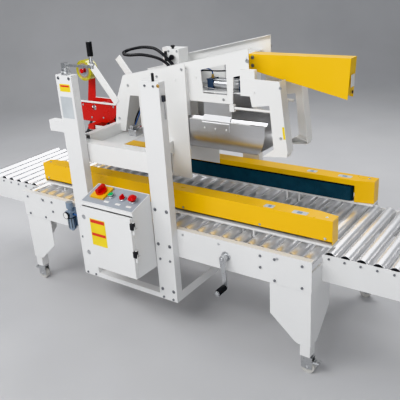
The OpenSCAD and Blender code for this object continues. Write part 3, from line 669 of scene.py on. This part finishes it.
# ------------------------------------------------------------------ drive covers: blank stickers, screws, inner details
for body, s, nm in (("drive_near", -1, "near"), ("drive_far", 1, "far")):
    items = []
    for x in (-745, -300, 160, 560, 855):
        items.append((mm(x, s * 262.5, 600), (0, s, 0), 4, 2.6))
    for x in (-740, 850):
        items.append((mm(x, s * 236, 681), (0, 0, 1), 4, 2.4))
    bolts("cover_screws_" + nm, items, body)
    # belt guide ribs: a rubber belt face pattern standing a little proud on the working side
    bm = bmesh.new()
    yb = s * (208.5 - 24.0)
    x = -640.0
    while x < 750:
        add_box(bm, mm(x, min(yb, yb - s * 0.8), 583), mm(x + 3.6, max(yb, yb - s * 0.8), 645))
        x += 9.0
    bmesh.ops.recalc_face_normals(bm, faces=bm.faces)
    obj_from("belt_ribs_" + nm, bm, "belt", body, smooth=False)
    # black strip behind the top edge
    y0, y1 = sorted((s * 187.4, s * 185.9))
    boxmm("cover_lip_" + nm, (-688, y0, 651), (798, y1, 656.5), "black_plastic", body, bevel=0.5)
for nm, s, x, y, w, h, mat in (("near_a", -1, 572, -252, 44, 30, "label_grey"), ("near_a2", -1, 590, -246, 14, 18, "label_blue"),
                               ("near_b", -1, 704, -256, 66, 30, "label_grey"), ("near_b2", -1, 724, -250, 22, 18, "label_blue"),
                               ("far_a", 1, 552, 208, 48, 28, "label_grey"), ("far_a2", 1, 568, 213, 16, 17, "label_blue"),
                               ("far_b", 1, 708, 208, 64, 28, "label_grey"), ("far_b2", 1, 728, 213, 22, 17, "label_blue")):
    up_ = 0.5 if not nm.endswith("2") else 1.0
    plate("cover_label_" + nm, mm(x, y, 681 + up_ - 0.5), (1, 0, 0), (0, 1, 0), w, h, 0.5, mat, "drive_near" if s < 0 else "drive_far", corner=3)

# ------------------------------------------------------------------ head: screws, flanges, cylinder, hoses
items = [(mm(425, -98, 1247), (0, -1, 0), 6, 4), (mm(362, -98, 1150), (0, -1, 0), 5, 3.5), (mm(300, -98, 1075), (0, -1, 0), 4.5, 3),
         (mm(-250, -98, 1100), (0, -1, 0), 5, 3.5), (mm(-330, -98, 930), (0, -1, 0), 5, 3.5)]
items += [(mm(x, 102, z), (0, 1, 0), 6, 4) for x, z in ((425, 1280), (158, 1180), (-250, 1110), (-330, 930), (60, 1150))]
items += [(mm(590, -122, z), (0, -1, 0), 4.5, 3) for z in (1150, 940)] + [(mm(590, 122, z), (0, 1, 0), 4.5, 3) for z in (1150, 940)]
items += [(mm(x, s * 122, z), (0, s, 0), 4.5, 3) for s in (-1, 1) for x, z in ((-45, 740), (-45, 1160), (100, 1200))]
bolts("head_screws", items, "head")
# folded top flange of the near head plate, and a welded rib on the leaning leg
def flange(name, pts, y0, y1, t, mat, body):
    """A strip of thickness t hung under the line of points, from y0 to y1."""
    bm = bmesh.new()
    rows = []
    for x, z in pts:
        rows.append([bm.verts.new(mm(x, y, zz)) for y, zz in ((y0, z), (y1, z), (y1, z - t), (y0, z - t))])
    bm.faces.new(rows[0])
    bm.faces.new(list(reversed(rows[-1])))
    for a, b in zip(rows, rows[1:]):
        for k in range(4):
            q = (k + 1) % 4
            bm.faces.new((a[k], a[q], b[q], b[k]))
    bmesh.ops.recalc_face_normals(bm, faces=bm.faces)
    return obj_from(name, bm, mat, body, smooth=False, bevel=0.0006)


flange("head_flange_near", [(-58, 1192), (431, 1294.8)], -93.9, -74, 2.5, "white_head", "head")
flange("head_flange_far", [(-58, 1225), (431, 1327.8)], 74, 93.9, 2.5, "white_head", "head")
flange("head_flange_leg", [(-335, 1026), (-277, 1147.6), (-72, 1189.5)], -93.9, -66, 2.5, "white_head", "head")
# black clips and knob on the bracket block
boxmm("block_clip_a", (-52, -46, 1214), (-44.2, -26, 1262), "black_plastic", "head", bevel=1.5)
lathe("block_knob", mm(-16, -22, 1272.2), (0, 0, 1), [(0, 0), (0.0060, 0), (0.0060, 0.006), (0.0100, 0.0075), (0.0105, 0.012), (0.0085, 0.0155), (0, 0.0165)], "black_plastic", "head", 20)
lathe("block_knob_low", mm(-8, -36.2, 1236), (0, -1, 0), [(0, 0), (0.0070, 0), (0.0070, 0.004), (0.0120, 0.006), (0.0125, 0.014), (0.0100, 0.018), (0, 0.019)], "black_plastic", "head", 20)
bolts("block_screws", [(mm(x, -34.0, z), (0, -1, 0), 4, 3) for x in (-34, 14) for z in (1200, 1262)], "head")
# cylinder barrel, tie rods, ports and fittings
lathe("cylinder_barrel", mm(226.3, -40, 1130), (1, 0, 0), [(0.0211, 0), (0.0224, 0.0004), (0.0224, 0.0030), (0.0214, 0.0036), (0.0214, 0.1298), (0.0224, 0.1304), (0.0224, 0.1330), (0.0211, 0.1334)], "alloy", "head", 40)
bm = bmesh.new()
for dy in (-19.5, 19.5):
    for dz in (-20.5, 20.5):
        add_lathe(bm, mm(188, -40 + dy, 1130 + dz), (1, 0, 0), [(0, 0), (0.0024, 0), (0.0024, 0.214), (0, 0.214)], 10)
        for x in (190.5, 397.5):
            add_lathe(bm, mm(x, -40 + dy, 1130 + dz), (1, 0, 0), [(0, 0), (0.0046, 0), (0.0046, 0.0045), (0, 0.0045)], 6)
bmesh.ops.recalc_face_normals(bm, faces=bm.faces)
obj_from("cylinder_tie_rods", bm, "zinc", "head")
for nm, x in (("rear", 211), ("front", 378)):
    lathe("cylinder_port_" + nm, mm(x, -40, 1155.1), (0, 0, 1), [(0, 0), (0.0075, 0), (0.0075, 0.005), (0.0055, 0.0055), (0.0055, 0.014), (0.0048, 0.016), (0, 0.016)], "brass", "head", 6)
tube("air_hose_a", [mm(211, -40, 1168), mm(208, -42, 1186), mm(180, -50, 1196), mm(130, -58, 1176), mm(90, -66, 1150), mm(30, -70, 1150), mm(-20, -70, 1165), mm(-30, -66, 1181)], 0.0030, "hose_blue", "head", 10)
tube("air_hose_b", [mm(378, -40, 1168), mm(372, -44, 1186), mm(330, -52, 1194), mm(250, -60, 1190), mm(170, -64, 1188), mm(110, -70, 1164), mm(40, -76, 1162), mm(-16, -76, 1170), mm(-24, -74, 1181)], 0.0030, "hose_black", "head", 10)
tube("cable_c", [mm(300, -52, 1106), mm(270, -62, 1109), mm(220, -66, 1112), mm(160, -70, 1118), mm(120, -74, 1130), mm(70, -80, 1140), mm(20, -82, 1158), mm(-36, -80, 1180)], 0.0024, "cable_grey", "head", 8)
# a small valve block behind the window, with its coil
boxmm("valve_block", (226, 30, 1105.2), (300, 62, 1138), "alloy", "head", bevel=1.5)
boxmm("valve_coil", (236, 34, 1138.2), (262, 58, 1172), "black_plastic", "head", bevel=2.5)
boxmm("valve_coil_b", (268, 34, 1138.2), (294, 58, 1172), "black_plastic", "head", bevel=2.5)
# hose bundle, a terminal block, a cross wall and a shelf inside the opening behind the leaning leg
tube("bundle_a", [mm(-150, -80, 1160), mm(-165, -80, 1100), mm(-182, -79, 1040), mm(-207, -78, 985), mm(-240, -77, 930), mm(-250, -76, 890), mm(-252, -74, 866)], 0.0042, "hose_black", "head", 10)
tube("bundle_b", [mm(-138, -86, 1160), mm(-152, -86, 1095), mm(-174, -86, 1030), mm(-198, -86, 975), mm(-232, -85, 915), mm(-248, -84, 888), mm(-256, -82, 866)], 0.0030, "hose_blue", "head", 10)
tube("bundle_c", [mm(-128, -73, 1162), mm(-132, -73, 1080), mm(-152, -73, 1000), mm(-178, -73, 950), mm(-214, -76, 905), mm(-230, -80, 884)], 0.0030, "cable_grey", "head", 10)
bm = bmesh.new()
add_box(bm, mm(-262, -118, 852.5), mm(-214, -62, 884))
add_box(bm, mm(-256, -112, 884), mm(-236, -70, 902))
bmesh.ops.recalc_face_normals(bm, faces=bm.faces)
obj_from("bundle_terminal", bm, "alloy", "head", bevel=0.0018)
# cross wall inside the leaning leg, in the grey copy of the head's white paint: painted shade
bm = bmesh.new()
leg = [(-246.2, 1051), (-299.6, 868), (-302.6, 868), (-249.2, 1051)]
a = [bm.verts.new(mm(x, -93.8, z)) for x, z in leg]
b = [bm.verts.new(mm(x, 93.8, z)) for x, z in leg]
bm.faces.new(a)
bm.faces.new(list(reversed(b)))
for k in range(4):
    bm.faces.new((a[k], b[k], b[(k + 1) % 4], a[(k + 1) % 4]))
bmesh.ops.recalc_face_normals(bm, faces=bm.faces)
obj_from("leg_cross_wall", bm, "head_inner_painted_shade", "head", smooth=False, bevel=0.0006)
boxmm("bundle_shelf", (-329.8, -250, 850), (-190, -60, 852.5), "white_head", "head", bevel=0.6)

# infeed arm: bolts, and a small sensor and a blank sticker on its end plate
bolts("arm_bolts", [(mm(411, -30, 1250), (0, -1, 0), 5.5, 4), (mm(411, -30, 1216), (0, -1, 0), 5.5, 4), (mm(411, 30, 1250), (0, 1, 0), 5.5, 4), (mm(411, 30, 1216), (0, 1, 0), 5.5, 4)], "head", "bolt")
bm = bmesh.new()
add_box(bm, mm(844.2, -21, 1150), mm(845.0, 15, 1198))
bmesh.ops.recalc_face_normals(bm, faces=bm.faces)
obj_from("arm_sticker", bm, "tag", "head", smooth=False)
lathe("arm_sensor", mm(843.2, 2, 1128), (1, 0, 0), [(0, 0), (0.0072, 0), (0.0072, 0.0012), (0.0050, 0.0019), (0, 0.0019)], "black_plastic", "head", 20)
bm = bmesh.new()
quad = [(602, 938), (612, 938), (606, 990), (596, 990)]
lo = [bm.verts.new(mm(x, -122.0, z)) for x, z in quad]
hi = [bm.verts.new(mm(x, -122.5, z)) for x, z in quad]
bm.faces.new(lo)
bm.faces.new(list(reversed(hi)))
for k in range(4):
    bm.faces.new((lo[k], hi[k], hi[(k + 1) % 4], lo[(k + 1) % 4]))
bmesh.ops.recalc_face_normals(bm, faces=bm.faces)
obj_from("wing_label", bm, "label_yellow", "head", smooth=False)
# rolled bright rim along the trough's top edges
for nm, s in (("near", -1), ("far", 1)):
    tube("trough_rim_" + nm, [mm(62, s * 113.7, 978.6), mm(180, s * 113.7, 978.6), mm(330, s * 113.7, 978.6), mm(440, s * 113.7, 978.6)], 0.0021, "roller", "head", 12)

# ------------------------------------------------------------------ upper tape unit
for nm, s in (("near", -1), ("far", 1)):
    y0, y1 = sorted((s * 45.6, s * 91))
    boxmm("tape_channel_" + nm, (-561, y0, 843.5), (-331, y1, 850.1), "white_head", "head", bevel=0.8)
    y0, y1 = sorted((s * 88.6, s * 91.2))
    boxmm("tape_channel_lip_" + nm, (-517, y0, 850), (-367, y1, 872), "white_head", "head", bevel=0.8)
    y0, y1 = sorted((s * 40.2, s * 47))
    boxmm("tape_top_strip_" + nm, (-648, y0, 976), (-402, y1, 985), "white_head", "head", bevel=0.8)
    items = [(mm(x, s * 40.0, z), (0, s, 0), 4, 3) for x, z in ((-640, 960), (-420, 965), (-500, 900), (-585, 895))]
    bolts("tape_pins_" + nm, items, "head", "zinc")
# floor plate of the tape unit
boxmm("tape_base", (-640, -37, 872), (-600, 37, 875), "red", "head", bevel=0.5)
# film path rollers inside the frame
for nm, x, z, r in (("a", -610, 935, 13), ("b", -560, 950, 15.5), ("c", -470, 948, 11), ("d", -448, 935, 9)):
    lathe("tape_guide_" + nm, mm(x, -36.4, z), (0, 1, 0), [(0, 0), (r * 0.5e-3, 0), (r * 0.5e-3, 0.002), (r * 1e-3, 0.0022), (r * 1e-3, 0.012), (r * 0.94e-3, 0.0125), (r * 0.94e-3, 0.0600), (r * 1e-3, 0.0605), (r * 1e-3, 0.0705), (r * 0.5e-3, 0.0707), (r * 0.5e-3, 0.0727), (0, 0.0727)], "alloy", "head", 28)
# springs that pull the arms, hooked between two pins on the frame's inner face
def spring(name, a, b, r, wire, turns, mat, body):
    a, b = mm(*a), mm(*b)
    u, v, w = basis(b - a)
    L = (b - a).length
    pts = []
    for i in range(turns * 8 + 1):
        t = i / (turns * 8)
        ang = 2 * math.pi * turns * t
        pts.append(a + w * L * t + (u * math.cos(ang) + v * math.sin(ang)) * r)
    bm = bmesh.new()
    add_tube(bm, pts, wire, 6)
    bmesh.ops.recalc_face_normals(bm, faces=bm.faces)
    return obj_from(name, bm, mat, body)


spring("tape_spring", (-640, -34.8, 958), (-590, -34.8, 912), 0.0016, 0.0005, 22, "zinc", "head")
# brush bar, its hangers and bristles hanging under the unit
boxmm("brush_bar", (-520, -70, 796), (-506, 70, 806), "black_plastic", "head", bevel=1.0)
for s in (-1, 1):
    y0, y1 = sorted((s * 58, s * 62))
    boxmm("brush_hanger_" + ("near" if s < 0 else "far"), (-518, y0, 805.8), (-508, y1, 844), "black_steel", "head", bevel=0.6)
bm = bmesh.new()
rnd = random.Random(7)
for i in range(150):
    y = -68 + 136 * i / 149.0
    x = -513 + rnd.uniform(-3.5, 3.5)
    dx = rnd.uniform(-2.5, 2.5)
    a, b = mm(x, y, 796.5), mm(x + dx, y + rnd.uniform(-1, 1), 770 + rnd.uniform(0, 4))
    add_tube(bm, [a, b], 0.0006, 4)
bmesh.ops.recalc_face_normals(bm, faces=bm.faces)
obj_from("brush_hair", bm, "black_rubber", "head", smooth=False)
# tape roll: card core, wound-film edge rings and a hub nut
for body, x, z, nm in (("tape_roll_body", -617, 1140, "up"), ("low_roll_body", -440, 340, "low")):
    bm = bmesh.new()
    for s in (-1, 1):
        add_lathe(bm, mm(x, s * 25.0, z), (0, s, 0), [(0.0365, 0.0), (0.0400, 0.0002), (0.0400, -0.0006), (0.0365, -0.0006)], 48)
        add_lathe(bm, mm(x, s * 20.9, z), (0, s, 0), [(0.0330, 0.0), (0.0362, 0.0), (0.0362, 0.0048), (0.0330, 0.0048), (0.0330, 0.0)], 48)
    bmesh.ops.recalc_face_normals(bm, faces=bm.faces)
    obj_from("tape_core_" + nm, bm, "card", body)
    bm = bmesh.new()
    for s in (-1, 1):
        for r in (0.0425, 0.0450, 0.0472, 0.0495, 0.0515):
            add_lathe(bm, mm(x, s * 25.0, z), (0, s, 0), [(r, 0), (r + 0.0004, 0.00025), (r + 0.0008, 0.0)], 64)
    bmesh.ops.recalc_face_normals(bm, faces=bm.faces)
    obj_from("tape_windings_" + nm, bm, "tape", body)
    lathe("tape_hub_" + nm, mm(x, -25.3, z), (0, -1, 0), [(0.0085, -0.003), (0.0320, -0.003), (0.0320, 0.0008), (0.0290, 0.0016), (0.0120, 0.0018), (0.0085, 0.0010)], "alloy", body, 36)
lathe("tape_hub_nut", mm(-617, -34.1, 1140), (0, -1, 0), [(0, 0), (0.0115, 0), (0.0118, 0.001), (0.0118, 0.007), (0.0105, 0.0085), (0, 0.0090)], "red_plastic", "head", 24)
# rubber grooves on the pressing rollers
for body, x, z, nm in (("front_roller_body", -425, 785, "front"), ("rear_roller_body", -655, 790, "rear")):
    prof = [(0.0152, 0.0)]
    L = 0.056
    for i in range(12):
        a = 0.001 + (L - 0.002) * i / 12
        prof += [(0.01615, a), (0.01665, a + 0.0005), (0.01665, a + 0.0032), (0.01615, a + 0.0037)]
    prof += [(0.0152, L)]
    lathe("roller_grooves_" + nm, mm(x, -28, z), (0, 1, 0), prof, "black_rubber", body, 40)

# ------------------------------------------------------------------ air regulator
lathe("gauge", mm(-458, -416.6, 498), (0, -1, 0), [(0, 0), (0.0060, 0), (0.0060, 0.005), (0.0170, 0.006), (0.0180, 0.007), (0.0180, 0.015), (0.0165, 0.0165), (0.0155, 0.0150), (0, 0.0150)], "black_plastic", "frame", 36)
lathe("gauge_face", mm(-458, -431.7, 498), (0, -1, 0), [(0, 0), (0.0153, 0), (0.0153, 0.0003), (0, 0.0003)], "tag", "frame", 36)
bm = bmesh.new()
for i in range(24):
    a = 2 * math.pi * i / 24
    add_box(bm, (-0.0006, 0.0168, 0.0), (0.0006, 0.0178, 0.028), Matrix.Translation(mm(-458, -397.5, 531)) @ Matrix.Rotation(a, 4, "Z"))
bmesh.ops.recalc_face_normals(bm, faces=bm.faces)
obj_from("regulator_knob_ribs", bm, "reg_blue", "frame", smooth=False)
bm = bmesh.new()
for i in range(8):
    a = 2 * math.pi * i / 8
    add_box(bm, (-0.0016, 0.0178, 0.0), (0.0016, 0.0196, 0.056), Matrix.Translation(mm(-458, -397.5, 422)) @ Matrix.Rotation(a, 4, "Z"))
bmesh.ops.recalc_face_normals(bm, faces=bm.faces)
obj_from("bowl_guard_ribs", bm, "black_plastic", "frame", smooth=False)
lathe("bowl_ring", mm(-458, -397.5, 476), (0, 0, 1), [(0.0182, 0), (0.0205, 0.0005), (0.0205, 0.006), (0.0182, 0.0066)], "black_plastic", "frame", 36)
tube("air_feed_hose", [mm(-437, -397.5, 498), mm(-426, -397.5, 498), mm(-414, -392, 488), mm(-412, -384, 462), mm(-420, -378, 430), mm(-430, -376.5, 408)], 0.0040, "hose_blue", "frame", 12)


# ------------------------------------------------------------------ castors
for k, sx, sy in (("a", 1, -1), ("b", -1, -1), ("c", 1, 1), ("d", -1, 1)):
    cx_, cy_ = sx * 815, sy * 341.5
    wx = sx * 827
    bm = bmesh.new()
    for s in (-1, 1):
        add_lathe(bm, mm(wx, cy_ + s * 11.0, 30), (0, s, 0), [(0.0232, -0.0005), (0.0232, 0.0006), (0.0215, 0.0010), (0.0140, 0.0004), (0.0105, 0.0010), (0.0100, 0.0018), (0.0056, 0.0018), (0.0056, -0.0005)], 36)
    bmesh.ops.recalc_face_normals(bm, faces=bm.faces)
    obj_from("wheel_hub_" + k, bm, "nylon", f"wheel_{k}_body")
    bm = bmesh.new()
    for i in range(36):
        a = 2 * math.pi * i / 36
        add_box(bm, (-0.0009, -0.0105, 0.0290), (0.0009, 0.0105, 0.0299), Matrix.Translation(mm(wx, cy_, 30)) @ Matrix.Rotation(a, 4, "Y"))
    bmesh.ops.recalc_face_normals(bm, faces=bm.faces)
    obj_from("wheel_tread_" + k, bm, "tread", f"wheel_{k}_body", smooth=False)
    bolts("axle_bolt_" + k, [(mm(wx, cy_ - 16, 30), (0, -1, 0), 6, 3.5), (mm(wx, cy_ + 16, 30), (0, 1, 0), 6, 3.5)], f"fork_{k}_body")
    lathe("swivel_race_" + k, mm(cx_, cy_, 81.5), (0, 0, 1), [(0.0192, 0), (0.0222, 0.0002), (0.0226, 0.0015), (0.0226, 0.0048), (0.0216, 0.0062), (0.0192, 0.0064)], "zinc", f"fork_{k}_body", 40)
    # brake pedal with a ribbed toe
    x0, x1 = sorted((sx * 850, sx * 878))
    bm = bmesh.new()
    add_box(bm, mm(x0, cy_ - 14, 62.2), mm(x1, cy_ + 14, 64.2))
    for i in range(4):
        xx = sx * (856 + 6 * i)
        add_box(bm, mm(min(xx, xx + sx * 2), cy_ - 12, 64.2), mm(max(xx, xx + sx * 2), cy_ + 12, 65.4))
    bmesh.ops.recalc_face_normals(bm, faces=bm.faces)
    obj_from("brake_pad_" + k, bm, "zinc", f"fork_{k}_body", bevel=0.0005)


# ------------------------------------------------------------------ floor, backdrop and lights
def stage_floor():
    bm = bmesh.new()
    S, H = 14.0, 6.0
    # a sweep: flat floor curling up into a backdrop well behind the machine
    d = Vector(R[2])
    d.z = 0
    d.normalize()
    s = Vector((d.y, -d.x, 0))
    prof = [(-9.0, 0.0), (4.5, 0.0)]
    for k in range(1, 13):
        a = math.radians(90 * k / 12)
        prof.append((4.5 + 1.8 * math.sin(a), 1.8 - 1.8 * math.cos(a)))
    prof.append((6.3, H))
    rows = []
    for t, z in prof:
        rows.append([bm.verts.new(d * t + s * (x * S) + Vector((0, 0, z))) for x in (-1, 1)])
    for a, b in zip(rows, rows[1:]):
        bm.faces.new((a[0], a[1], b[1], b[0]))
    bm.normal_update()
    me = bpy.data.meshes.new("floor")
    bm.to_mesh(me)
    bm.free()
    for p in me.polygons:
        p.use_smooth = True
    o = bpy.data.objects.new("floor", me)
    SC.collection.objects.link(o)
    mat, nt, b = new_mat("floor_paper")
    v = coords(nt)
    nt.links.new(ramp(nt, noise(nt, v, 1.3, 3), [(0.3, (0.56, 0.56, 0.57)), (0.7, (0.60, 0.60, 0.61))]), b.inputs["Base Color"])
    b.inputs["Roughness"].default_value = 0.8
    me.materials.append(mat)
    return o


def area(name, loc, target, size, power, size_y=None, colour=(1, 1, 1)):
    ld = bpy.data.lights.new(name, "AREA")
    ld.shape = "RECTANGLE"
    ld.size = size
    ld.size_y = size_y or size
    ld.energy = power
    ld.color = colour
    o = bpy.data.objects.new(name, ld)
    o.location = loc
    dvec = Vector(target) - Vector(loc)
    o.rotation_euler = dvec.to_track_quat("-Z", "Y").to_euler()
    SC.collection.objects.link(o)
    return o


stage_floor()
area("soft_near", (-0.6, -2.9, 3.4), (0, 0, 0.5), 3.4, 78, 1.3)
area("soft_far", (0.2, 2.5, 3.4), (0, 0, 0.6), 4.4, 78, 1.3)
area("soft_left", (-3.8, -1.2, 2.2), (0, 0, 0.6), 1.8, 26, 1.6)
area("front_fill", (2.2, -4.2, 1.5), (0, 0, 0.6), 2.6, 30, 1.6)
world = bpy.data.worlds.new("world")
world.use_nodes = True
world.node_tree.nodes["Background"].inputs["Color"].default_value = (0.93, 0.96, 1.0, 1)
world.node_tree.nodes["Background"].inputs["Strength"].default_value = 0.34
SC.world = world
SC.view_settings.view_transform = "Khronos PBR Neutral"
SC.view_settings.look = "None"
SC.view_settings.exposure = 0.22
